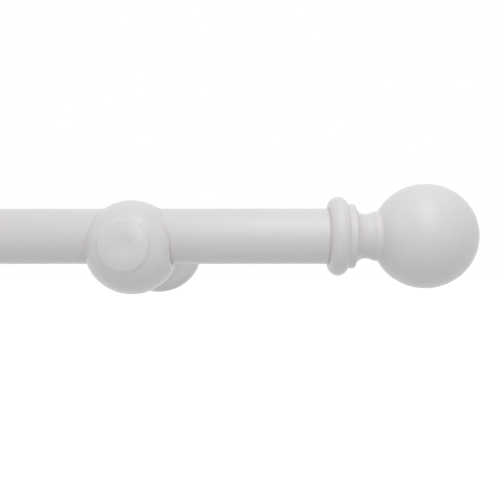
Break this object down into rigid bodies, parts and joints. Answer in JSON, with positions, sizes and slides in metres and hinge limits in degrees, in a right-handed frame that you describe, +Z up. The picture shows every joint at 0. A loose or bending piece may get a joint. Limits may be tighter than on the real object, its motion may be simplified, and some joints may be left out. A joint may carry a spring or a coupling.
{
  "type": "eyelet curtain rod",
  "caption": "White-painted turned wooden curtain rod for eyelet curtains: round pole through drilled brackets with wall roses and front bosses, ending in collared ball finials.",
  "frame": {"origin": "on the pole's axis, midway between its two ends", "axes": "+X along the pole, +Y towards the wall, +Z up"},
  "size_m": [1.328, 0.1663, 0.0588],
  "materials": {
    "white_paint": "satin white paint over turned wood",
    "zinc_steel": "bright zinc plate"
  },
  "bodies": {
    "root": {"pole": "white_paint", "finial_left": "white_paint", "finial_right": "white_paint", "bracket_left": "white_paint", "bracket_right": "white_paint", "wall_rose_left": "white_paint", "wall_rose_right": "white_paint", "finial_screw_left": "zinc_steel", "finial_screw_right": "zinc_steel", "wall_screw_left": "zinc_steel", "wall_screw_right": "zinc_steel", "lock_screw_left": "zinc_steel", "lock_screw_right": "zinc_steel"}
  },
  "joints": []
}
